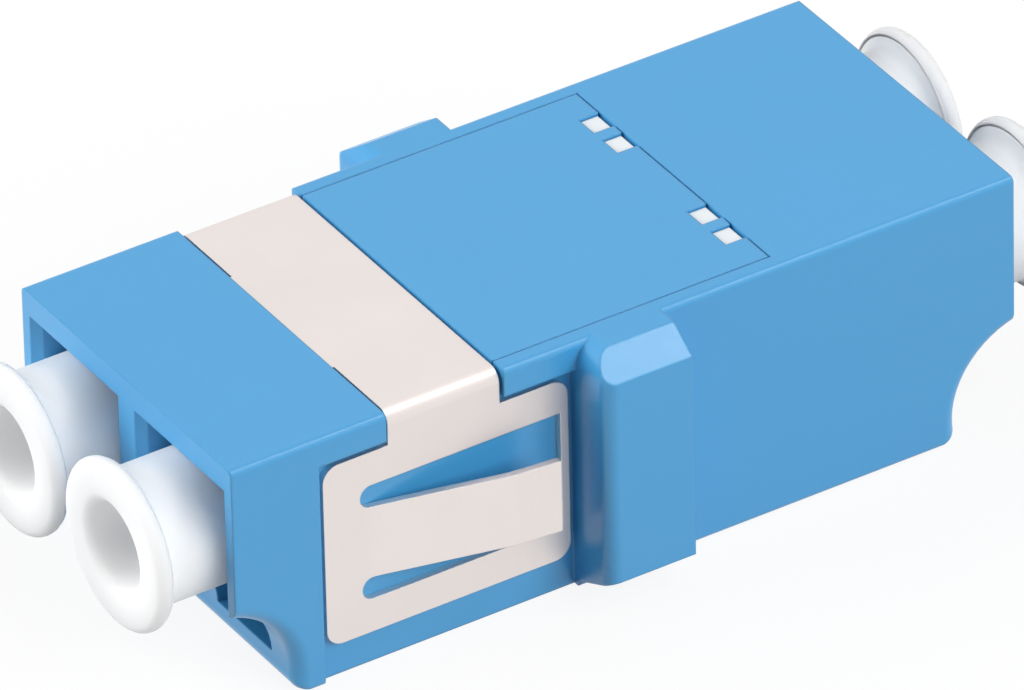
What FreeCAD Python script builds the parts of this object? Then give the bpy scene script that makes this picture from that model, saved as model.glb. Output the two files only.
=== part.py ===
"""LC duplex fibre adapter with four dust plugs, in millimetres.

X runs through the adapter from its front mouths to its rear mouths, Y across
the two ports and Z up.  The origin lies on the underside, midway across, in
the plane where the flange bears on a panel.  The latch keyways face down.
"""
import FreeCAD, Part
import math
import os
import re

import Sketcher

# ---------------------------------------------------------------- sizes

SIZES = {
    # housing
    "body_length": 29.0,
    "body_width": 12.4,
    "body_height": 9.3,
    "body_round": 0.2,
    "middle_offset": 1.9,       # panel plane to the adapter's middle
    "port_pitch": 6.25,
    "axis_height": 5.75,        # ferrule axis above the underside
    "port_size": 4.7,           # square guide for the connector nose
    "mouth_lead": 0.3,          # bevel round each mouth
    "keyway_width": 3.2,
    "floor_wall": 0.9,          # wall under the keyways
    "catch_width": 4.4,
    "catch_start": 5.9,         # from the mouth to the latch shoulder
    "catch_length": 2.5,
    "scoop_radius": 2.95,
    "scoop_depth": 2.15,        # how far the scoop reaches into the housing
    "scoop_rise": 0.8,          # height of the scoop's centre
    "scoop_heel": 0.5,          # where the scoop runs out into the underside
    # flange
    "flange_reach": 1.75,       # each side of the body
    "flange_length": 3.2,
    "flange_round": 0.45,
    "brow_round": 0.8,          # where the front of the flange turns into its top
    "shoulder_across": 1.05,    # upper bevel of the flange
    "shoulder_down": 0.75,
    "heel_rise": 0.25,          # lower bevel, at the body and at the tip
    "tip_rise": 1.05,
    # recesses for the clip
    "side_recess": 0.35,
    "side_recess_length": 9.42,
    "lip_height": 1.02,         # wall left over the side recess
    "strap_recess": 0.3,
    "strap_recess_back": 2.65,  # panel plane to the recess' rear wall
    "edge_relief": 0.35,
    # access opening and its cover
    "cover_length": 11.5,
    "cover_width": 11.2,
    "cover_thickness": 0.75,
    "cover_clearance": 0.06,
    "end_ledge": 0.85,
    "window_width": 0.92,
    "window_depth": 0.8,
    # sleeve carriers
    "carrier_plate": 0.6,
    "carrier_clearance": 0.05,
    "tube_outside": 2.5,
    "tube_lip": 0.3,
    "tube_lip_bore": 1.4,
    "leg_offset": 0.68,         # each side of a ferrule axis
    "leg_width": 0.8,
    "leg_height": 0.35,
    "leg_clearance": 0.05,
    "peg_length": 0.64,
    "peg_below_top": 0.08,
    # split sleeves
    "sleeve_bore": 1.25,
    "sleeve_outside": 1.62,
    "sleeve_length": 6.8,
    "sleeve_slit": 0.25,
    "sleeve_play": 0.05,
    # clip
    "sheet": 0.25,
    "strap_width": 4.1,
    "strap_play": 0.1,
    "strap_tab_width": 6.0,
    "strap_tab": 0.07,
    "bend_inside": 0.2,
    "plate_length": 9.0,
    "plate_front_play": 0.17,
    "plate_foot": 1.3,
    "plate_head_play": 0.23,
    "plate_round": 0.6,
    "slot_top": 2.14,           # tongue slots, from the plate's middle height
    "slot_width": 0.82,
    "slot_front": 1.33,         # plate's front edge to the slots' round ends
    "slot_rear": 0.3,           # strip left behind the tongue
    "tongue_end_gap": 0.75,
    "tongue_slope": 4.55,       # along X from the root to the second bend
    "tongue_rise": 1.06,        # outward reach at the second bend
    "tongue_reach": 1.22,       # outward reach at the end
    "tongue_bend": 2.4,         # inside radius of both bends
    # dust plugs
    "plug_clearance": 0.05,     # round the stem in its port
    "plug_insert": 8.9,         # mouth to the plug's inner end
    "plug_stand": 2.55,         # mouth to the disc's outer face
    "disc_gap": 0.45,           # between the two discs of one end
    "plug_disc_thickness": 0.55,
    "plug_flare": 0.4,
    "plug_rim": 0.15,
    "plug_wall": 0.85,          # round the outer hole
    "plug_pocket": 6.4,         # depth of the outer hole
    "plug_septum": 1.2,
    "plug_inner_wall": 0.8,
    "plug_point": 0.4,
}

document = FreeCAD.newDocument("lc_duplex_adapter")
sheet = document.addObject("Spreadsheet::Sheet", "sizes")
for row, (alias, value) in enumerate(SIZES.items(), start=1):
    sheet.set("A%d" % row, alias)
    sheet.set("B%d" % row, str(value))
    sheet.setAlias("B%d" % row, alias)
document.recompute()


def formula(text):
    """Write a sum of size names as an expression on the sheet."""
    return re.sub(r"\b(?!min\b)[a-z][a-z_]*", lambda word: "sizes." + word.group(), text)


# ------------------------------------------------- places worked out once

HALF_WIDTH = "body_width / 2"
FLANGE_TIP = "(body_width / 2 + flange_reach)"
MIDDLE = "middle_offset"
FRONT_END = "(middle_offset - body_length / 2)"
REAR_END = "(middle_offset + body_length / 2)"
AXIS = "port_pitch / 2"
PORT_HALF = "port_size / 2"
PORT_ROOF = "(axis_height + port_size / 2)"
PORT_FLOOR = "(axis_height - port_size / 2)"
CHAMBER_HALF_WIDTH = "(port_pitch / 2 + port_size / 2)"
COVER_UNDERSIDE = "(body_height - cover_thickness)"
CHAMBER_HALF_LENGTH = "(cover_length / 2 - end_ledge)"
RECESS_FLOOR = "(body_width / 2 - side_recess)"
STRAP_FLOOR = "(body_height - strap_recess)"
STRAP_SLOT = "(strap_width + 2 * strap_play)"
LIP_UNDERSIDE = "(body_height - lip_height)"
LEG_UNDERSIDE = "(axis_height + port_size / 2 + leg_clearance)"
LEG_PLACES = ["%s * %s %s leg_offset" % (side, AXIS, sign)
              for side in ("1", "-1") for sign in ("-", "+")]
BEYOND = "2"                    # how far a cut runs past the surface it opens


# ------------------------------------------------------- drawing helpers

def new_body(name):
    body = document.addObject("PartDesign::Body", name)
    body.Label = name
    return body


def sketch_on(body, name, plane, offset="0"):
    """Sketch parallel to one of the body's own origin planes."""
    sketch = body.newObject("Sketcher::SketchObject", name)
    origin_plane = [item for item in body.Origin.OriginFeatures if item.Role == plane][0]
    sketch.AttachmentSupport = [(origin_plane, "")]
    sketch.MapMode = "FlatFace"
    sketch.setExpression("AttachmentOffset.Base.z", formula(offset))
    return sketch


def bind_point(sketch, item, point, start, corner):
    """Hold a sketch point at a pair of formulas."""
    for kind, place, text in zip(("DistanceX", "DistanceY"), start, corner):
        index = sketch.addConstraint(Sketcher.Constraint(kind, item, point, place))
        sketch.setExpression("Constraints[%d]" % index, formula(text))


def outline(sketch, corners):
    """Closed outline through corners given as pairs of formulas."""
    count = len(corners)
    spots = [FreeCAD.Vector(5 * math.cos(math.tau * step / count),
                            5 * math.sin(math.tau * step / count), 0)
             for step in range(count)]
    lines = [sketch.addGeometry(Part.LineSegment(spots[step], spots[(step + 1) % count]))
             for step in range(count)]
    for step, line in enumerate(lines):
        following = lines[(step + 1) % count]
        sketch.addConstraint(Sketcher.Constraint("Coincident", line, 2, following, 1))
    for line, spot, corner in zip(lines, spots, corners):
        bind_point(sketch, line, 1, (spot.x, spot.y), corner)


def rectangle(sketch, left, right, low, high):
    outline(sketch, [(left, low), (right, low), (right, high), (left, high)])


def circle(sketch, across, up, diameter):
    item = sketch.addGeometry(Part.Circle(FreeCAD.Vector(1, 1, 0), FreeCAD.Vector(0, 0, 1), 1))
    bind_point(sketch, item, 3, (1, 1), (across, up))
    index = sketch.addConstraint(Sketcher.Constraint("Diameter", item, 2))
    sketch.setExpression("Constraints[%d]" % index, formula(diameter))


def volume(body):
    return body.Shape.Volume if not body.Shape.isNull() else 0.0


def grow(body, kind, sketch, length, reverse=False):
    """Pad or pocket a sketch, and see that it adds or takes material."""
    before = volume(body)
    feature = body.newObject("PartDesign::" + kind, sketch.Name + "_" + kind.lower())
    feature.Profile = sketch
    feature.Reversed = reverse
    feature.setExpression("Length", formula(length))
    sketch.Visibility = False
    document.recompute()
    change = volume(body) - before
    if (kind == "Pad") != (change > 0) or abs(change) < 1e-6:
        raise ValueError("%s changed the volume by %g" % (feature.Name, change))
    return feature


def pad(body, sketch, length, reverse=False):
    return grow(body, "Pad", sketch, length, reverse)


def pocket(body, sketch, length, reverse=False):
    return grow(body, "Pocket", sketch, length, reverse)


def dress(body, kind, size, wanted):
    """Fillet or chamfer the edges of the body whose middle is wanted."""
    tip = body.Tip
    names = ["Edge%d" % (place + 1) for place, edge in enumerate(tip.Shape.Edges)
             if wanted(edge.valueAt(sum(edge.ParameterRange) / 2), edge)]
    if not names:
        raise ValueError("no edge to dress on " + body.Name)
    feature = body.newObject("PartDesign::" + kind, "%s_%s_%d" % (body.Name, kind.lower(), len(body.Group)))
    feature.Base = (tip, names)
    feature.setExpression("Radius" if kind == "Fillet" else "Size", formula(size))
    document.recompute()
    if not feature.Shape.isValid():
        raise ValueError("%s made an invalid solid" % feature.Name)
    return feature


def near(first, second, tolerance=1e-4):
    return abs(first - second) < tolerance


def runs_along(edge, axis):
    """True for a straight edge parallel to axis 0, 1 or 2."""
    ends = [vertex.Point for vertex in edge.Vertexes]
    if len(ends) != 2 or edge.Curve.TypeId != "Part::GeomLine":
        return False
    step = ends[1] - ends[0]
    return all(near(step[other], 0) for other in range(3) if other != axis)


# ---------------------------------------------------------------- housing

def housing_block(body):
    """Outer block with softened long edges."""
    sketch = sketch_on(body, "block", "YZ_Plane", FRONT_END)
    rectangle(sketch, "-" + HALF_WIDTH, HALF_WIDTH, "0", "body_height")
    pad(body, sketch, "body_length")
    dress(body, "Fillet", "body_round", lambda middle, edge: runs_along(edge, 0))


def flange(body):
    """Flange across the block, with its bevels and soft front edges."""
    sketch = sketch_on(body, "flange", "YZ_Plane")
    right = [(HALF_WIDTH, "heel_rise"),
             (FLANGE_TIP, "tip_rise"),
             (FLANGE_TIP, "body_height - shoulder_down"),
             (FLANGE_TIP + " - shoulder_across", "body_height")]
    left = [("-(%s)" % across, up) for across, up in reversed(right)]
    outline(sketch, right + left)
    pad(body, sketch, "flange_length")

    reach = SIZES["body_width"] / 2 + 0.01
    top = SIZES["body_height"]
    dress(body, "Fillet", "brow_round",
          lambda middle, edge: near(middle.x, 0) and abs(middle.y) > reach and near(middle.z, top))
    dress(body, "Fillet", "flange_round",
          lambda middle, edge: near(middle.x, 0) and abs(middle.y) > reach
          and SIZES["tip_rise"] < middle.z < top - 0.01)


def clip_recesses(body):
    """Side recesses open to the underside, joined over the top for the strap."""
    sketch = sketch_on(body, "side_recesses", "YZ_Plane")
    for side in ("", "-"):
        rectangle(sketch, side + RECESS_FLOOR, side + "(%s + %s)" % (HALF_WIDTH, BEYOND),
                  "-" + BEYOND, LIP_UNDERSIDE)
    pocket(body, sketch, "side_recess_length")

    sketch = sketch_on(body, "strap_recess", "YZ_Plane", "-strap_recess_back")
    outline(sketch, [
        ("-(%s + %s)" % (HALF_WIDTH, BEYOND), LIP_UNDERSIDE),
        ("-" + RECESS_FLOOR, LIP_UNDERSIDE),
        ("-" + RECESS_FLOOR, STRAP_FLOOR + " - edge_relief"),
        ("-(%s - edge_relief)" % RECESS_FLOOR, STRAP_FLOOR),
        ("%s - edge_relief" % RECESS_FLOOR, STRAP_FLOOR),
        (RECESS_FLOOR, STRAP_FLOOR + " - edge_relief"),
        (RECESS_FLOOR, LIP_UNDERSIDE),
        ("%s + %s" % (HALF_WIDTH, BEYOND), LIP_UNDERSIDE),
        ("%s + %s" % (HALF_WIDTH, BEYOND), "body_height + " + BEYOND),
        ("-(%s + %s)" % (HALF_WIDTH, BEYOND), "body_height + " + BEYOND),
    ])
    pocket(body, sketch, STRAP_SLOT)


def ports(body):
    """Square connector guides with a keyway under each, right through."""
    sketch = sketch_on(body, "port_profile", "YZ_Plane", REAR_END)
    for side in ("-", ""):
        centre = side + AXIS
        outline(sketch, [
            ("%s - %s" % (centre, PORT_HALF), PORT_FLOOR),
            ("%s - keyway_width / 2" % centre, PORT_FLOOR),
            ("%s - keyway_width / 2" % centre, "floor_wall"),
            ("%s + keyway_width / 2" % centre, "floor_wall"),
            ("%s + keyway_width / 2" % centre, PORT_FLOOR),
            ("%s + %s" % (centre, PORT_HALF), PORT_FLOOR),
            ("%s + %s" % (centre, PORT_HALF), PORT_ROOF),
            ("%s - %s" % (centre, PORT_HALF), PORT_ROOF),
        ])
    pocket(body, sketch, "body_length")

    half_length = SIZES["body_length"] / 2
    ends = (SIZES["middle_offset"] - half_length, SIZES["middle_offset"] + half_length)
    inner = SIZES["port_pitch"] / 2 + SIZES["port_size"] / 2 + 0.01
    floor = SIZES["axis_height"] - SIZES["port_size"] / 2 + 0.01
    roof = SIZES["axis_height"] + SIZES["port_size"] / 2 + 0.01
    dress(body, "Chamfer", "min(mouth_lead; (port_pitch - port_size) / 3)",
          lambda middle, edge: any(near(middle.x, end) for end in ends)
          and abs(middle.y) < inner and floor < middle.z < roof)


def latch_catches(body):
    """Wider pockets in each keyway, behind the shoulders that hold a latch."""
    starts = {"front": FRONT_END + " + catch_start + catch_length",
              "rear": REAR_END + " - catch_start"}
    for end, start in starts.items():
        sketch = sketch_on(body, end + "_catches", "YZ_Plane", start)
        for side in ("-", ""):
            rectangle(sketch, "%s - catch_width / 2" % (side + AXIS),
                      "%s + catch_width / 2" % (side + AXIS), "floor_wall", PORT_FLOOR)
        pocket(body, sketch, "catch_length")


def scoops(body):
    """Round cuts across the lower corner of each end, for reaching a latch."""
    sketch = sketch_on(body, "scoop_circles", "XZ_Plane", "-(%s + %s)" % (HALF_WIDTH, BEYOND))
    inset = "(scoop_radius - scoop_depth)"
    circle(sketch, "%s - %s" % (FRONT_END, inset), "scoop_rise", "2 * scoop_radius")
    circle(sketch, "%s + %s" % (REAR_END, inset), "scoop_rise", "2 * scoop_radius")
    pocket(body, sketch, "body_width + 2 * " + BEYOND, reverse=True)

    front = SIZES["middle_offset"] - SIZES["body_length"] / 2
    rear = SIZES["middle_offset"] + SIZES["body_length"] / 2
    dress(body, "Fillet", "scoop_heel",
          lambda middle, edge: runs_along(edge, 1) and near(middle.z, 0)
          and (middle.x < front + SIZES["scoop_depth"] or middle.x > rear - SIZES["scoop_depth"]))


def access_opening(body):
    """Chamber for the sleeve carriers, the cover's seat and the leg grooves."""
    top = "body_height"
    cuts = {
        "chamber": (CHAMBER_HALF_LENGTH, CHAMBER_HALF_WIDTH, "body_height - " + PORT_FLOOR),
        "plate_slot": ("(carrier_plate + carrier_clearance)", CHAMBER_HALF_WIDTH,
                       "body_height - floor_wall"),
        "cover_seat": ("cover_length / 2", "cover_width / 2", "cover_thickness"),
    }
    for name, (half_length, half_width, depth) in cuts.items():
        sketch = sketch_on(body, name, "XY_Plane", top)
        rectangle(sketch, "%s - %s" % (MIDDLE, half_length), "%s + %s" % (MIDDLE, half_length),
                  "-" + half_width, half_width)
        pocket(body, sketch, depth)

    sketch = sketch_on(body, "leg_grooves", "XY_Plane", top)
    reach = "(cover_length / 2 - cover_clearance)"
    for place in LEG_PLACES:
        rectangle(sketch, "%s - %s" % (MIDDLE, reach), "%s + %s" % (MIDDLE, reach),
                  "%s - window_width / 2" % place, "%s + window_width / 2" % place)
    pocket(body, sketch, "body_height - " + PORT_ROOF)


def make_housing():
    body = new_body("outer_housing")
    housing_block(body)
    clip_recesses(body)
    flange(body)
    ports(body)
    latch_catches(body)
    access_opening(body)
    scoops(body)
    return body


# ------------------------------------------------------------------ cover

def make_cover():
    """Flat cover flush with the top, with a window over each carrier peg."""
    body = new_body("access_cover")
    half_length = "(cover_length / 2 - cover_clearance)"
    half_width = "(cover_width / 2 - cover_clearance)"
    sketch = sketch_on(body, "cover_plate", "XY_Plane", COVER_UNDERSIDE)
    rectangle(sketch, "%s - %s" % (MIDDLE, half_length), "%s + %s" % (MIDDLE, half_length),
              "-" + half_width, half_width)
    pad(body, sketch, "cover_thickness")

    sketch = sketch_on(body, "peg_windows", "XY_Plane", "body_height")
    for place in LEG_PLACES:
        low = "%s - window_width / 2" % place
        high = "%s + window_width / 2" % place
        inner = "(cover_length / 2 - window_depth)"
        outer = "(cover_length / 2 + %s)" % BEYOND
        rectangle(sketch, "%s - %s" % (MIDDLE, outer), "%s - %s" % (MIDDLE, inner), low, high)
        rectangle(sketch, "%s + %s" % (MIDDLE, inner), "%s + %s" % (MIDDLE, outer), low, high)
    pocket(body, sketch, "cover_thickness")

    sketch = sketch_on(body, "strap_step", "XY_Plane", "body_height")
    rectangle(sketch, "%s - cover_length" % MIDDLE, "-strap_recess_back",
              "-cover_width", "cover_width")
    pocket(body, sketch, "strap_recess")
    return body


# --------------------------------------------------------------- carriers

def make_carrier(name, turn, roof):
    """White moulding that holds one half of both sleeves.

    It is drawn for the rear half and turned round for the front one, whose
    pegs are shorter because the strap lies over them.  The middle of the
    adapter is its own origin.
    """
    body = new_body(name)
    plate_half_width = "(%s - carrier_clearance)" % CHAMBER_HALF_WIDTH
    leg_end = "(cover_length / 2 - 2 * cover_clearance)"

    sketch = sketch_on(body, name + "_plate", "YZ_Plane")
    rectangle(sketch, "-" + plate_half_width, plate_half_width,
              "floor_wall + carrier_clearance", COVER_UNDERSIDE + " - carrier_clearance")
    pad(body, sketch, "carrier_plate")

    sketch = sketch_on(body, name + "_tubes", "YZ_Plane")
    for side in ("-", ""):
        circle(sketch, side + AXIS, "axis_height", "tube_outside")
    pad(body, sketch, "sleeve_length / 2 + sleeve_play + tube_lip")

    sketch = sketch_on(body, name + "_legs", "YZ_Plane")
    for place in LEG_PLACES:
        rectangle(sketch, "%s - leg_width / 2" % place, "%s + leg_width / 2" % place,
                  LEG_UNDERSIDE, LEG_UNDERSIDE + " + leg_height")
    pad(body, sketch, leg_end)

    sketch = sketch_on(body, name + "_pegs", "XY_Plane", LEG_UNDERSIDE)
    for place in LEG_PLACES:
        rectangle(sketch, leg_end + " - peg_length", leg_end,
                  "%s - leg_width / 2" % place, "%s + leg_width / 2" % place)
    pad(body, sketch, "%s - peg_below_top - %s" % (roof, LEG_UNDERSIDE))

    sketch = sketch_on(body, name + "_sleeve_seats", "YZ_Plane")
    for side in ("-", ""):
        circle(sketch, side + AXIS, "axis_height", "sleeve_outside + 2 * sleeve_play")
    pocket(body, sketch, "sleeve_length / 2 + sleeve_play", reverse=True)

    sketch = sketch_on(body, name + "_ferrule_mouths", "YZ_Plane", "sleeve_length / 2 + sleeve_play")
    for side in ("-", ""):
        circle(sketch, side + AXIS, "axis_height", "tube_lip_bore")
    mouths = pocket(body, sketch, "tube_lip", reverse=True)
    mouths.TaperAngle = 45
    document.recompute()

    body.setExpression("Placement.Base.x", formula(MIDDLE))
    body.Placement.Rotation = FreeCAD.Rotation(FreeCAD.Vector(0, 0, 1), turn)
    return body


# ---------------------------------------------------------------- sleeves

def make_sleeve(name, side):
    """Zirconia tube slit along its top, which lines up two ferrules."""
    body = new_body(name)
    sketch = sketch_on(body, name + "_ring", "YZ_Plane", "-sleeve_length / 2")
    circle(sketch, "0", "0", "sleeve_outside")
    circle(sketch, "0", "0", "sleeve_bore")
    pad(body, sketch, "sleeve_length")

    sketch = sketch_on(body, name + "_slit", "YZ_Plane", "-sleeve_length / 2")
    rectangle(sketch, "-sleeve_slit / 2", "sleeve_slit / 2", "0", "sleeve_outside")
    pocket(body, sketch, "sleeve_length", reverse=True)

    body.setExpression("Placement.Base.x", formula(MIDDLE))
    body.setExpression("Placement.Base.y", formula(side + AXIS))
    body.setExpression("Placement.Base.z", formula("axis_height"))
    return body


# ------------------------------------------------------------------- clip

PLATE_FRONT = "(plate_front_play - side_recess_length)"
PLATE_HEAD = "(body_height - lip_height - plate_head_play)"
PLATE_MIDDLE = "((body_height - lip_height - plate_head_play + plate_foot) / 2)"
STRAP_FRONT = "(-strap_recess_back - strap_width - strap_play)"
SLOT_END = "(plate_front_play - side_recess_length + slot_front)"
SLOT_INNER = "(slot_top - slot_width)"


def bent_sheet(body):
    """Saddle folded from sheet: over the top and down both sides."""
    sketch = sketch_on(body, "saddle", "YZ_Plane", PLATE_FRONT)
    outside = "(%s + sheet)" % RECESS_FLOOR
    top = "%s + sheet" % STRAP_FLOOR
    outline(sketch, [
        ("-" + RECESS_FLOOR, "plate_foot"), ("-" + RECESS_FLOOR, STRAP_FLOOR),
        (RECESS_FLOOR, STRAP_FLOOR), (RECESS_FLOOR, "plate_foot"),
        (outside, "plate_foot"), (outside, top), ("-" + outside, top), ("-" + outside, "plate_foot"),
    ])
    pad(body, sketch, "plate_length")

    half = SIZES["body_width"] / 2 - SIZES["side_recess"]
    floor = SIZES["body_height"] - SIZES["strap_recess"]
    bends = {"bend_inside": (half, floor),
             "bend_inside + sheet": (half + SIZES["sheet"], floor + SIZES["sheet"])}
    for radius, (across, up) in bends.items():
        dress(body, "Fillet", radius,
              lambda middle, edge: runs_along(edge, 0)
              and near(abs(middle.y), across) and near(middle.z, up))


def trim_strap(body):
    """Narrow neck and strap between the wide side plates."""
    sketch = sketch_on(body, "neck_trims", "XZ_Plane", "-body_width")
    above = "body_height + " + BEYOND
    rectangle(sketch, PLATE_FRONT + " - " + BEYOND, STRAP_FRONT + " - strap_tab", PLATE_HEAD, above)
    rectangle(sketch, STRAP_FRONT + " + strap_width", BEYOND, PLATE_HEAD, above)
    pocket(body, sketch, "2 * body_width", reverse=True)

    sketch = sketch_on(body, "tab_trims", "XY_Plane", above)
    for side in ("", "-"):
        rectangle(sketch, STRAP_FRONT + " - 2 * strap_tab", STRAP_FRONT,
                  side + "(strap_tab_width / 2)", side + "body_width")
    pocket(body, sketch, above + " - " + PLATE_HEAD)

    foot = SIZES["plate_foot"]
    head = SIZES["body_height"] - SIZES["lip_height"] - SIZES["plate_head_play"]
    front = SIZES["plate_front_play"] - SIZES["side_recess_length"]
    rear = front + SIZES["plate_length"]
    dress(body, "Fillet", "plate_round",
          lambda middle, edge: runs_along(edge, 1)
          and (near(middle.z, foot) or near(middle.z, head))
          and (near(middle.x, front) or near(middle.x, rear)))


def tongue_windows(body):
    """Window in each side plate, with round slot ends each side of the tongue."""
    sketch = sketch_on(body, "windows", "XZ_Plane", "-body_width")
    rear = PLATE_FRONT + " + plate_length - slot_rear"
    rectangle(sketch, SLOT_END + " + slot_width / 2", rear,
              "%s - slot_top" % PLATE_MIDDLE, "%s + slot_top" % PLATE_MIDDLE)
    pocket(body, sketch, "2 * body_width", reverse=True)

    sketch = sketch_on(body, "slot_rounds", "XZ_Plane", "-body_width")
    for sign in ("-", "+"):
        circle(sketch, SLOT_END + " + slot_width / 2",
               "%s %s (slot_top - slot_width / 2)" % (PLATE_MIDDLE, sign), "slot_width")
    pocket(body, sketch, "2 * body_width", reverse=True)


def tongues(body):
    """Spring tongues that lean out towards the flange and end just short of it."""
    root = "(%s + slot_width / 2)" % SLOT_END
    tip = "(%s + plate_length - slot_rear - tongue_end_gap)" % PLATE_FRONT
    bend = root + " + tongue_slope"
    inside = [(root + " - sheet", "0"), (root, "0"), (bend, "tongue_rise"), (tip, "tongue_reach")]
    for name, sign in (("left_tongue", ""), ("right_tongue", "-")):
        sketch = sketch_on(body, name, "XY_Plane", "%s - %s" % (PLATE_MIDDLE, SLOT_INNER))
        inner = [(along, "%s(%s + %s)" % (sign, RECESS_FLOOR, out)) for along, out in inside]
        outer = [(along, "%s(%s + sheet + %s)" % (sign, RECESS_FLOOR, out))
                 for along, out in reversed(inside)]
        outline(sketch, inner + outer)
        pad(body, sketch, "2 * " + SLOT_INNER)

    root_x = (SIZES["plate_front_play"] - SIZES["side_recess_length"] + SIZES["slot_front"]
              + SIZES["slot_width"] / 2)
    bend_x = root_x + SIZES["tongue_slope"]
    floor = SIZES["body_width"] / 2 - SIZES["side_recess"]
    for out, first, second in ((0, "tongue_bend + sheet", "tongue_bend"),
                               (SIZES["sheet"], "tongue_bend", "tongue_bend + sheet")):
        for along, lift, radius in ((root_x, 0, first), (bend_x, SIZES["tongue_rise"], second)):
            dress(body, "Fillet", radius,
                  lambda middle, edge: runs_along(edge, 2) and near(middle.x, along)
                  and near(abs(middle.y), floor + out + lift))


def make_clip():
    body = new_body("panel_clip")
    bent_sheet(body)
    trim_strap(body)
    tongue_windows(body)
    tongues(body)
    return body


# ------------------------------------------------------------- dust plugs

def make_plug(name, side, end, turn):
    """Hollow turned-form plug with a disc to pull it by.

    Its own X axis points into the port from the plane of the mouth.
    """
    body = new_body(name)
    sketch = sketch_on(body, name + "_section", "XZ_Plane")
    back = "-plug_stand + plug_disc_thickness"
    bottom = "-plug_stand + plug_pocket"
    stem = "port_size / 2 - plug_clearance"
    outline(sketch, [
        (bottom, "0"), (bottom, stem + " - plug_wall"),
        ("-plug_stand", stem + " - plug_wall"), ("-plug_stand", "(port_pitch - disc_gap) / 2"),
        (back, "(port_pitch - disc_gap) / 2"), (back, stem),
        ("plug_insert - plug_point", stem),
        ("plug_insert", stem + " - plug_point"),
        ("plug_insert", stem + " - plug_inner_wall"),
        (bottom + " + plug_septum", stem + " - plug_inner_wall"),
        (bottom + " + plug_septum", "0"),
    ])
    turned = body.newObject("PartDesign::Revolution", name + "_turned")
    turned.Profile = sketch
    turned.ReferenceAxis = (sketch, ["H_Axis"])
    turned.Angle = 360
    document.recompute()

    face = -SIZES["plug_stand"]
    rear = face + SIZES["plug_disc_thickness"]
    dress(body, "Chamfer", "min(plug_flare; (port_pitch - disc_gap - port_size) / 2)",
          lambda middle, edge: near(edge.BoundBox.XMax, rear) and near(edge.BoundBox.XLength, 0)
          and near(edge.BoundBox.YLength, SIZES["port_size"] - 2 * SIZES["plug_clearance"], 0.01))
    dress(body, "Chamfer", "plug_rim",
          lambda middle, edge: near(edge.BoundBox.XMax, face) and near(edge.BoundBox.XLength, 0))

    body.setExpression("Placement.Base.x", formula(end))
    body.setExpression("Placement.Base.y", formula(side + AXIS))
    body.setExpression("Placement.Base.z", formula("axis_height"))
    body.Placement.Rotation = FreeCAD.Rotation(FreeCAD.Vector(0, 0, 1), turn)
    return body


# --------------------------------------------------------------- assembly

parts = [
    make_housing(),
    make_cover(),
    make_carrier("front_sleeve_carrier", 180, STRAP_FLOOR),
    make_carrier("rear_sleeve_carrier", 0, "body_height"),
    make_sleeve("left_split_sleeve", ""),
    make_sleeve("right_split_sleeve", "-"),
    make_clip(),
    make_plug("front_left_dust_plug", "", FRONT_END, 0),
    make_plug("front_right_dust_plug", "-", FRONT_END, 0),
    make_plug("rear_left_dust_plug", "", REAR_END, 180),
    make_plug("rear_right_dust_plug", "-", REAR_END, 180),
]
document.recompute()

for item in document.Objects:
    if "Invalid" in item.State or "Error" in item.State:
        raise ValueError(item.Name + " failed to build")

os.makedirs("parts", exist_ok=True)
for part in parts:
    if part.Shape.isNull() or not part.Shape.isValid() or len(part.Shape.Solids) != 1:
        raise ValueError(part.Label + " is not one valid solid")
    part.Shape.exportStep("parts/%s.step" % part.Label)
    print("%-24s %8.2f mm3" % (part.Label, part.Shape.Volume))
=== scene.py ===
# %% [markdown]
# # A duplex fibre adapter with its dust plugs in
#
# The adapter is a blue moulding about three centimetres long, with two square ports at each end.
# A folded spring clip wraps its front half, and a white dust plug sits in every port. The
# measured model already holds every part at its true size and place, so this lesson does not
# guess at positions. It opens that model, gives each part its finish, models the plugs again with
# the soft rims that a moulding has, and then lights and frames the object.

# %% Open the measured model
import math

import bmesh
import bpy
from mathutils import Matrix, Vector


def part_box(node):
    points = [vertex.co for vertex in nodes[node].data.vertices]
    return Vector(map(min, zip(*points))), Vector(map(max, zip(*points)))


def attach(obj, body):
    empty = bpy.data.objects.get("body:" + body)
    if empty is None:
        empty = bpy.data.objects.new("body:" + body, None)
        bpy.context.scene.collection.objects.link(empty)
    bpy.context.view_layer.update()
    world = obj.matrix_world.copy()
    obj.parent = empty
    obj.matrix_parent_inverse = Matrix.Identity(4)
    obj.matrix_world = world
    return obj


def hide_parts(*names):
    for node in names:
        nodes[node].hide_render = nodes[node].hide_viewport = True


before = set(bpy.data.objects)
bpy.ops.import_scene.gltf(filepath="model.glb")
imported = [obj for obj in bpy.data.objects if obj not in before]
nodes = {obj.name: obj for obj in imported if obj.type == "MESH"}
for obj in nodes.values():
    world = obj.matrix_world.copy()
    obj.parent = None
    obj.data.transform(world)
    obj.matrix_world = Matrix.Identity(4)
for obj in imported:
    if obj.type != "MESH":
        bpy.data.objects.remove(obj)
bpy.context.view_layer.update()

MM = 0.001
print("parts:", ", ".join(sorted(nodes)))

# %% [markdown]
# ## Words for making a finish
#
# A finish is a graph of nodes. Wiring every node by hand hides the idea, so three small classes
# do it. `Signal` wraps one output socket, and its operators add Math nodes, so that
# `0.24 + 0.08 * drift` reads as it would on paper. `Graph` is a tree of nodes, and its method
# `node` adds any other kind of node. `Finish` is the graph of one material. Only what changes
# over a surface goes through nodes: a number that is the same everywhere is set straight on the
# shader.

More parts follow.
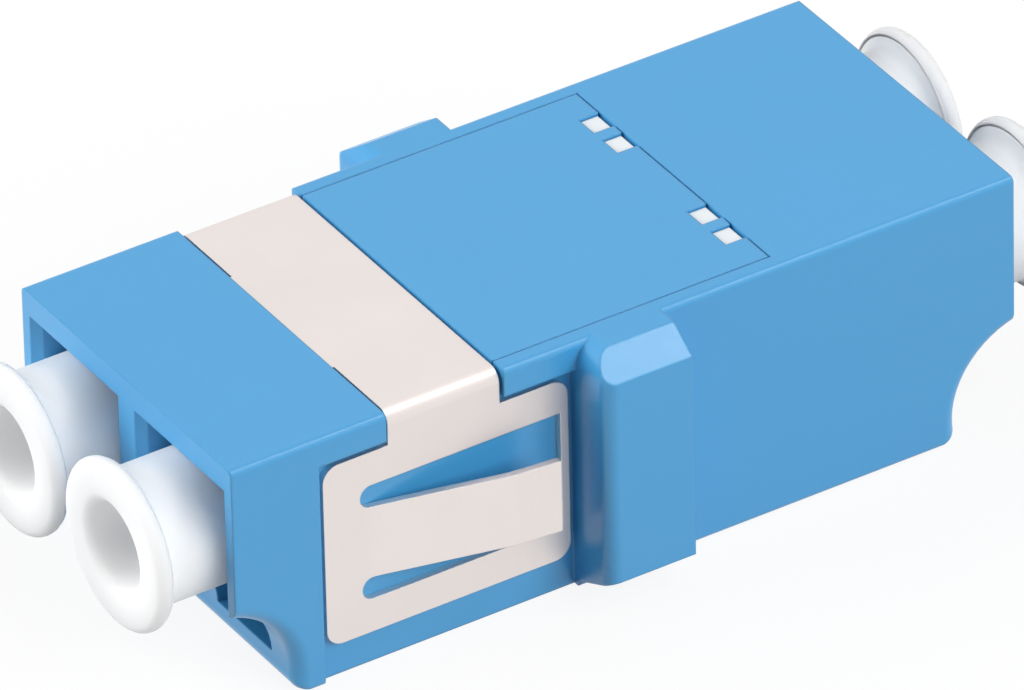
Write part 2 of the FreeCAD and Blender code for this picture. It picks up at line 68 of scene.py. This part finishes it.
# %% A signal that can be added and multiplied
class Signal:
    """One output socket, usable in sums."""

    def __init__(self, graph, socket):
        self.graph = graph
        self.socket = socket

    def combine(self, operation, other):
        return self.graph.node("Math", {"operation": operation}, {0: self, 1: other})

    def __add__(self, other):
        return self.combine("ADD", other)

    def __mul__(self, other):
        return self.combine("MULTIPLY", other)

    __radd__ = __add__
    __rmul__ = __mul__

# %% A graph, and a finish with the nodes that feed it
class Graph:
    """A tree of nodes that grows by one node at a time."""

    def __init__(self, tree):
        self.tree = tree

    def node(self, kind, settings=None, inputs=None, output=0):
        """Adds a node, sets it up, then gives its sockets values or links."""
        made = self.tree.nodes.new("ShaderNode" + kind)
        for title, value in (settings or {}).items():
            setattr(made, title, value)
        for place, value in (inputs or {}).items():
            self.connect(value, made.inputs[place])
        return Signal(self, made.outputs[output])

    def connect(self, value, socket):
        if isinstance(value, Signal):
            self.tree.links.new(value.socket, socket)
        else:
            socket.default_value = value


class Finish(Graph):
    """A material whose shader starts plain and is then fed."""

    def __init__(self, name, constants):
        self.material = bpy.data.materials.new(name)
        self.material.use_nodes = True
        super().__init__(self.material.node_tree)
        self.shader = self.tree.nodes["Principled BSDF"]
        for title, value in constants.items():
            self.shader.inputs[title].default_value = value

    def feed(self, title, signal):
        """Drives one socket of the shader."""
        self.connect(signal, self.shader.inputs[title])

# %% [markdown]
# ## Patterns that the finishes share
#
# Every finish here starts from the same few signals: where a point is on the part, a soft cloudy
# noise, and the direction that the surface faces once its edges are eased. Real moulded and
# stamped edges are never knife sharp. Easing them in the shader with a Bevel node, rather than in
# the mesh, keeps the measured shape and still gives each edge its thin bright line.

# %% Places, clouds and eased edges
def place_on_part(finish):
    return finish.node("TexCoord", output="Object")


def clouds(finish, size, detail=2.0, stretch=None):
    """Soft noise from 0 to 1, whose blobs are about `size` metres across."""
    place = place_on_part(finish)
    if stretch:
        place = finish.node("Mapping", inputs={"Vector": place, "Scale": stretch})
    return finish.node("TexNoise", inputs={"Vector": place, "Scale": 1 / size, "Detail": detail})


def eased_edges(finish, radius):
    return finish.node("Bevel", {"samples": 6}, {"Radius": radius})


def blend_colours(finish, amount, first, second):
    return finish.node("Mix", {"data_type": "RGBA"}, {0: amount, 6: first, 7: second}, output=2)


def relief(finish, height, depth, facing):
    """Turns a height signal of 0 to 1 into fine relief, `depth` metres deep."""
    return finish.node("Bump", inputs={
        "Height": height, "Distance": depth, "Strength": 1.0, "Normal": facing})


def describe(*materials):
    for material in materials:
        print(material.name, "has", len(material.node_tree.nodes), "nodes")

# %% [markdown]
# ## Blue moulded plastic
#
# The housing and its cover are glass-filled polyester, moulded blue. Such a moulding has a semi
# gloss skin with a very fine spark texture from the tool, and its colour drifts a little where
# the melt flowed. A flat blue would look like paint, so slow clouds shift the colour by a few
# percent, finer ones break up the gloss, and the finest give the skin its relief.

# %% Blue moulded plastic
def blue_plastic(name, light, deep):
    finish = Finish(name, {"IOR": 1.6})
    drift = clouds(finish, 6 * MM, 3.0)
    speck = clouds(finish, 0.35 * MM, 2.0)
    skin = clouds(finish, 0.07 * MM, 3.0)
    finish.feed("Base Color", blend_colours(finish, drift * 0.8 + speck * 0.2, deep, light))
    finish.feed("Roughness", 0.24 + 0.08 * drift + 0.05 * speck)
    finish.feed("Normal", relief(finish, skin, 0.0022 * MM, eased_edges(finish, 0.11 * MM)))
    return finish.material


HOUSING_BLUE = blue_plastic("housing_blue", (0.066, 0.360, 0.690, 1), (0.058, 0.335, 0.655, 1))
COVER_BLUE = blue_plastic("cover_blue", (0.069, 0.364, 0.693, 1), (0.061, 0.339, 0.658, 1))
describe(HOUSING_BLUE, COVER_BLUE)

# %% [markdown]
# ## Satin spring steel
#
# The clip is punched from stainless strip and folded. Rolling leaves faint lines along the strip,
# which runs over the top from side to side, and tumbling takes the shine down to satin. The lines
# are noise stretched far along one direction. They only touch the relief and the roughness.

# %% Satin spring steel
STEEL_DEEP, STEEL_LIGHT = (0.80, 0.74, 0.715, 1), (0.86, 0.795, 0.77, 1)
ALONG_THE_STRIP = (1.0, 0.04, 0.04)


def spring_steel():
    finish = Finish("clip_steel", {"Metallic": 1.0})
    lines = clouds(finish, 0.12 * MM, 3.0, stretch=ALONG_THE_STRIP)
    drift = clouds(finish, 3 * MM, 2.0)
    finish.feed("Base Color", blend_colours(finish, drift, STEEL_DEEP, STEEL_LIGHT))
    finish.feed("Roughness", 0.40 + 0.10 * lines + 0.06 * drift)
    finish.feed("Normal", relief(finish, lines, 0.0015 * MM, eased_edges(finish, 0.05 * MM)))
    return finish.material


CLIP_STEEL = spring_steel()
describe(CLIP_STEEL)

# %% [markdown]
# ## White plastics and zirconia
#
# The carriers that hold the sleeves are a hard, satin white. The dust plugs are a softer, milky
# plastic that lets a little light in, which the shader's subsurface weight gives. Their rims are
# already round in the mesh, so they need no eased edges. The split sleeves are zirconia, a dense
# ivory ceramic ground to a polish.

# %% White plastics and zirconia
def white_plastic(name, light, deep, rough, constants, easing=0.06 * MM):
    finish = Finish(name, constants)
    drift = clouds(finish, 4 * MM, 2.0)
    skin = clouds(finish, 0.09 * MM, 2.0)
    facing = eased_edges(finish, easing) if easing else finish.node("NewGeometry", output="Normal")
    finish.feed("Base Color", blend_colours(finish, drift, deep, light))
    finish.feed("Roughness", rough + 0.10 * drift + 0.05 * skin)
    finish.feed("Normal", relief(finish, skin, 0.002 * MM, facing))
    return finish.material


MILKY = {"IOR": 1.48, "Subsurface Weight": 1.0, "Subsurface Scale": 1.2 * MM,
         "Subsurface Radius": (1.0, 0.97, 0.95)}
CARRIER_WHITE = white_plastic(
    "carrier_white", (0.84, 0.88, 0.90, 1), (0.80, 0.85, 0.88, 1), 0.34, {"IOR": 1.48})
PLUG_WHITE = white_plastic(
    "plug_white", (0.97, 0.97, 0.975, 1), (0.955, 0.955, 0.965, 1), 0.40, MILKY, easing=0)
ZIRCONIA = white_plastic(
    "zirconia", (0.86, 0.84, 0.78, 1), (0.84, 0.82, 0.76, 1), 0.12, {"IOR": 2.1})
describe(CARRIER_WHITE, PLUG_WHITE, ZIRCONIA)

# %% Dress the measured parts
def wear(part, material):
    """Puts the material in every slot of a part, and leaves the part's mesh alone."""
    if not part.material_slots:
        part.data.materials.append(material)
    for slot in part.material_slots:
        slot.material = material


FINISHES = {
    "outer_housing": HOUSING_BLUE,
    "access_cover": COVER_BLUE,
    "panel_clip": CLIP_STEEL,
    "front_sleeve_carrier": CARRIER_WHITE,
    "rear_sleeve_carrier": CARRIER_WHITE,
    "left_split_sleeve": ZIRCONIA,
    "right_split_sleeve": ZIRCONIA,
}
for name, material in FINISHES.items():
    wear(nodes[name], material)
print("dressed", len(FINISHES), "parts")

# %% [markdown]
# ## Dust plugs
#
# Each port is closed by a soft, milky plug: a hollow stem that fills the port, and a disc to pull
# it by. The measured plugs have the right size, but flat bevels on every rim. The real ones come
# out of a mould, where the disc flows into the stem in one curve and nothing is sharp. The shape
# could be drawn as half an outline and spun. Here it is pulled out of a cylinder instead, because
# each step is then a move that a hand would make: widen the end, thicken it, inset it, push the
# hole in, and round the rims last. One plug is made, and the other three are copies.

# %% Sizes of a plug
low, high = (Vector(corner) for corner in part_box("front_right_dust_plug"))
PLUG_AXIS = Vector((0, (low.y + high.y) / 2, (low.z + high.z) / 2))
DISC_FACE, INNER_END = low.x, high.x
DISC_RADIUS = (high.y - low.y) / 2
DISC_THICKNESS = 0.55 * MM
DISC_BACK = DISC_FACE + DISC_THICKNESS
STEM_RADIUS = 2.3 * MM
HOLE_RADIUS, HOLE_DEPTH = 1.45 * MM, 6.4 * MM
CORE_RADIUS, CORE_DEPTH = 1.5 * MM, 3.85 * MM
STEM_SIDES = 128
print("disc of %.2f mm on a stem of %.2f mm" % (2 * DISC_RADIUS / MM, 2 * STEM_RADIUS / MM))

# %% Picking faces and rings by where they are
NEAR = 0.002 * MM
NEAR_AXIS = 0.1 * MM
NEAR_RING = 0.02 * MM


def from_axis(point):
    return (Vector((0, point.y, point.z)) - PLUG_AXIS).length


def pick_cap(piece, place, towards):
    """Selects only the flat end at `place` along X that faces `towards`."""
    bpy.ops.mesh.select_mode(type="FACE")
    bpy.ops.mesh.select_all(action="DESELECT")
    shape = bmesh.from_edit_mesh(piece.data)
    for face in shape.faces:
        middle = face.calc_center_median()
        face.select_set(abs(middle.x - place) < NEAR and from_axis(middle) < NEAR_AXIS
                        and face.normal.x * towards > 0.9)
    bmesh.update_edit_mesh(piece.data)


def round_ring(piece, place, radius, amount, steps):
    """Rounds the ring of edges at `place` along X and `radius` from the axis."""
    bpy.ops.mesh.select_mode(type="EDGE")
    bpy.ops.mesh.select_all(action="DESELECT")
    shape = bmesh.from_edit_mesh(piece.data)
    count = 0
    for edge in shape.edges:
        if all(abs(end.co.x - place) < NEAR and abs(from_axis(end.co) - radius) < NEAR_RING
               for end in edge.verts):
            edge.select_set(True)
            count += 1
    bmesh.update_edit_mesh(piece.data)
    bpy.ops.mesh.bevel(offset=amount, segments=steps, affect="EDGES")
    return count


def push(distance):
    bpy.ops.mesh.extrude_region_move(TRANSFORM_OT_translate={"value": (distance, 0, 0)})


def count_faces(piece):
    return len(bmesh.from_edit_mesh(piece.data).faces)

# %% The stem
bpy.ops.object.select_all(action="DESELECT")
bpy.ops.mesh.primitive_cylinder_add(
    vertices=STEM_SIDES, radius=STEM_RADIUS, depth=INNER_END - DISC_BACK,
    rotation=(0, math.pi / 2, 0),
    location=PLUG_AXIS + Vector(((INNER_END + DISC_BACK) / 2, 0, 0)))
plug = bpy.context.object
plug.name = "front_right_soft_plug"
bpy.ops.object.transform_apply(location=True, rotation=True, scale=True)
bpy.ops.object.mode_set(mode="EDIT")
print("stem:", count_faces(plug), "faces")

# %% The disc and the hole in its face
pick_cap(plug, DISC_BACK, -1)
push(0)
spread = DISC_RADIUS / STEM_RADIUS
bpy.ops.transform.resize(value=(1, spread, spread),
                         center_override=PLUG_AXIS + Vector((DISC_BACK, 0, 0)))
push(DISC_FACE - DISC_BACK)
bpy.ops.mesh.inset(thickness=DISC_RADIUS - HOLE_RADIUS)
push(HOLE_DEPTH)
print("with the disc and its hole:", count_faces(plug), "faces")

# %% The hollow core at the inner end
pick_cap(plug, INNER_END, 1)
bpy.ops.mesh.inset(thickness=STEM_RADIUS - CORE_RADIUS)
push(-CORE_DEPTH)
print("with the core:", count_faces(plug), "faces")

# %% [markdown]
# The rims come last, because a bevel is easiest to place while each ring still lies at a known
# distance from the axis. The ring behind the disc gets the widest one, as it is the curve in
# which the disc flows into the stem.

# %% Round every rim
ROUNDED = {
    "behind the disc": (DISC_BACK, STEM_RADIUS, 0.5 * MM, 6),
    "disc, back": (DISC_BACK, DISC_RADIUS, 0.22 * MM, 4),
    "disc, front": (DISC_FACE, DISC_RADIUS, 0.27 * MM, 5),
    "mouth of the hole": (DISC_FACE, HOLE_RADIUS, 0.35 * MM, 6),
    "floor of the hole": (DISC_FACE + HOLE_DEPTH, HOLE_RADIUS, 0.3 * MM, 4),
    "inner end": (INNER_END, STEM_RADIUS, 0.4 * MM, 4),
    "rim of the core": (INNER_END, CORE_RADIUS, 0.15 * MM, 3),
    "floor of the core": (INNER_END - CORE_DEPTH, CORE_RADIUS, 0.3 * MM, 4),
}
for title, (place, radius, amount, steps) in ROUNDED.items():
    print("rounded", title + ":", round_ring(plug, place, radius, amount, steps), "edges")

bpy.ops.mesh.select_all(action="SELECT")
bpy.ops.mesh.normals_make_consistent(inside=False)
bpy.ops.object.mode_set(mode="OBJECT")
bpy.ops.object.shade_smooth_by_angle(angle=math.radians(40))
plug.data.materials.clear()
plug.data.materials.append(PLUG_WHITE)

# %% [markdown]
# The four plugs come from one mould. A copy for the same end only shifts across to the next port.
# A copy for the other end turns half round about the adapter's middle, so its disc points out
# there too. Each has its own mesh, since each rides on a body that slides by itself.

# %% The other three plugs
PITCH = -2 * PLUG_AXIS.y
MIDDLE = sum(corner.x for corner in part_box("outer_housing")) / 2


def copy_plug(name, shift, turn):
    """Copies the first plug with its own mesh, turns it about the middle and moves it."""
    bpy.ops.object.select_all(action="DESELECT")
    plug.select_set(True)
    bpy.context.view_layer.objects.active = plug
    bpy.ops.object.duplicate(linked=False)
    twin = bpy.context.object
    twin.name = name
    bpy.ops.transform.rotate(value=turn, orient_axis="Z", center_override=(MIDDLE, 0, 0))
    bpy.ops.transform.translate(value=(0, shift, 0))
    bpy.ops.object.transform_apply(location=True, rotation=True, scale=True)
    return twin


plugs = {
    "front_right": plug,
    "front_left": copy_plug("front_left_soft_plug", PITCH, 0),
    "rear_left": copy_plug("rear_left_soft_plug", 0, math.pi),
    "rear_right": copy_plug("rear_right_soft_plug", -PITCH, math.pi),
}
print("plugs are %.2f mm apart" % (PITCH / MM))

# %% Put the new plugs in the measured ones' places
def box_of(piece):
    points = [vertex.co for vertex in piece.data.vertices]
    return [[limit(point[i] for point in points) for i in range(3)] for limit in (min, max)]


for place, piece in plugs.items():
    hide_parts(place + "_dust_plug")
    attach(piece, place + "_plug")
    apart = max(abs(mine - given)
                for corner, given_corner in zip(box_of(piece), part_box(place + "_dust_plug"))
                for mine, given in zip(corner, given_corner))
    print(piece.name, len(piece.data.vertices), "points,",
          "%.4f mm off the measured plug's box" % (apart / MM))

# %% [markdown]
# ## The view
#
# A small object is best seen from well back through a long lens, so that its edges stay almost
# parallel. The camera stands half a metre away, to the front and right and well above, and its
# 595 mm lens fills the frame with the adapter. It is tipped by the slight roll that a hand gives.

# %% Camera
VIEW_TURN, VIEW_RISE, VIEW_ROLL = (math.radians(angle) for angle in (-31.82, 34.43, -1.36))
AIM = Vector((-0.6, 0, 4.65)) * MM
MOVED_ACROSS, MOVED_UP, MOVED_BACK = 1.786 * MM, 1.07 * MM, 532.1 * MM

across = Vector((math.cos(VIEW_TURN), math.sin(VIEW_TURN), 0))
back = Vector((math.sin(VIEW_TURN) * math.cos(VIEW_RISE),
               -math.cos(VIEW_TURN) * math.cos(VIEW_RISE),
               math.sin(VIEW_RISE)))
upward = back.cross(across)
turned_across = math.cos(VIEW_ROLL) * across + math.sin(VIEW_ROLL) * upward
turned_up = math.cos(VIEW_ROLL) * upward - math.sin(VIEW_ROLL) * across

lens = bpy.data.cameras.new("camera")
lens.lens = 595.0
lens.clip_start, lens.clip_end = 0.01, 20
camera = bpy.data.objects.new("camera", lens)
bpy.context.collection.objects.link(camera)
camera.matrix_world.col[0][:3] = turned_across
camera.matrix_world.col[1][:3] = turned_up
camera.matrix_world.col[2][:3] = back
camera.location = AIM + turned_across * MOVED_ACROSS + turned_up * MOVED_UP + back * MOVED_BACK
bpy.context.scene.camera = camera
print("camera at", [round(value, 4) for value in camera.location])

# %% [markdown]
# ## Floor, backdrop and soft light
#
# The adapter lies on a white table. The light is kept at a plain level, so that a colour comes
# out as it was mixed. One large lamp stands at the right and lights the long side, one at the
# left lights the port end, and a small bright one above puts the gleam on the flange's bevel. The
# front of the right flange faces the left lamp, but the body stands between them, so it stays
# darker. Both large lamps are left out of reflections: glossy plastic seen from across the table
# would mirror them and turn white. The floor and the backdrop are white to the camera and in
# reflections. They throw less light back than they seem to, or every underside would glow.

# %% Floor
FLOOR_GLOW = 0.88


def looked_at(graph):
    """1 for what the camera or a reflection sees, 0 for light that only bounces."""
    seen = graph.node("LightPath", output="Is Camera Ray")
    return seen + graph.node("LightPath", output="Is Glossy Ray")


bpy.ops.object.select_all(action="DESELECT")
bpy.ops.mesh.primitive_circle_add(
    vertices=64, radius=1.2, fill_type="NGON", location=(0, 0, -0.03 * MM))
floor = bpy.context.object
floor.name = "floor"

table = Finish("table_white", {"Roughness": 0.9, "Specular IOR Level": 0.1})
shown = looked_at(table)
table.feed("Base Color", blend_colours(table, shown, (0.45, 0.45, 0.45, 1), (1, 1, 1, 1)))
surface = Signal(table, table.shader.outputs[0])
card = table.node("Emission", inputs={"Color": (1, 1, 1, 1), "Strength": 1.0})
mixed = table.node("MixShader", inputs={0: FLOOR_GLOW * shown, 1: surface, 2: card})
table.connect(mixed, table.tree.nodes["Material Output"].inputs["Surface"])
floor.data.materials.append(table.material)
describe(table.material)

# %% Backdrop
BOUNCED_LEVEL = 0.16

world = bpy.data.worlds.new("studio")
bpy.context.scene.world = world
world.use_nodes = True
sky = Graph(world.node_tree)
background = sky.tree.nodes["Background"]
sky.connect((1, 1, 1, 1), background.inputs["Color"])
sky.connect(BOUNCED_LEVEL + (1 - BOUNCED_LEVEL) * looked_at(sky), background.inputs["Strength"])
print("the backdrop lights the object at", BOUNCED_LEVEL)

# %% Lamps
LAMP_DISTANCE = 0.6


def soft_lamp(name, direction, size, share, mirrored):
    """A square lamp. `share` is how bright it alone makes a white card that faces it.

    That holds for a small lamp, and a large one gives somewhat less. `mirrored` says whether
    the lamp shows in reflections.
    """
    light = bpy.data.lights.new(name, "AREA")
    light.size = size
    light.energy = share * (math.pi * LAMP_DISTANCE) ** 2
    lamp = bpy.data.objects.new(name, light)
    lamp.location = AIM + Vector(direction).normalized() * LAMP_DISTANCE
    lamp.rotation_euler = (AIM - lamp.location).to_track_quat("-Z", "Y").to_euler()
    lamp.visible_glossy = mirrored
    bpy.context.collection.objects.link(lamp)
    print("%s lamp, %.2f m wide, %.2f W" % (name, size, light.energy))


soft_lamp("gleam", (0.435, -0.306, 0.847), 0.11, 0.15, True)
soft_lamp("right", (0.32, -0.80, 0.50), 0.40, 0.78, False)
soft_lamp("left", (-0.72, 0.55, 0.42), 0.55, 1.27, False)

bpy.context.scene.view_settings.view_transform = "Standard"
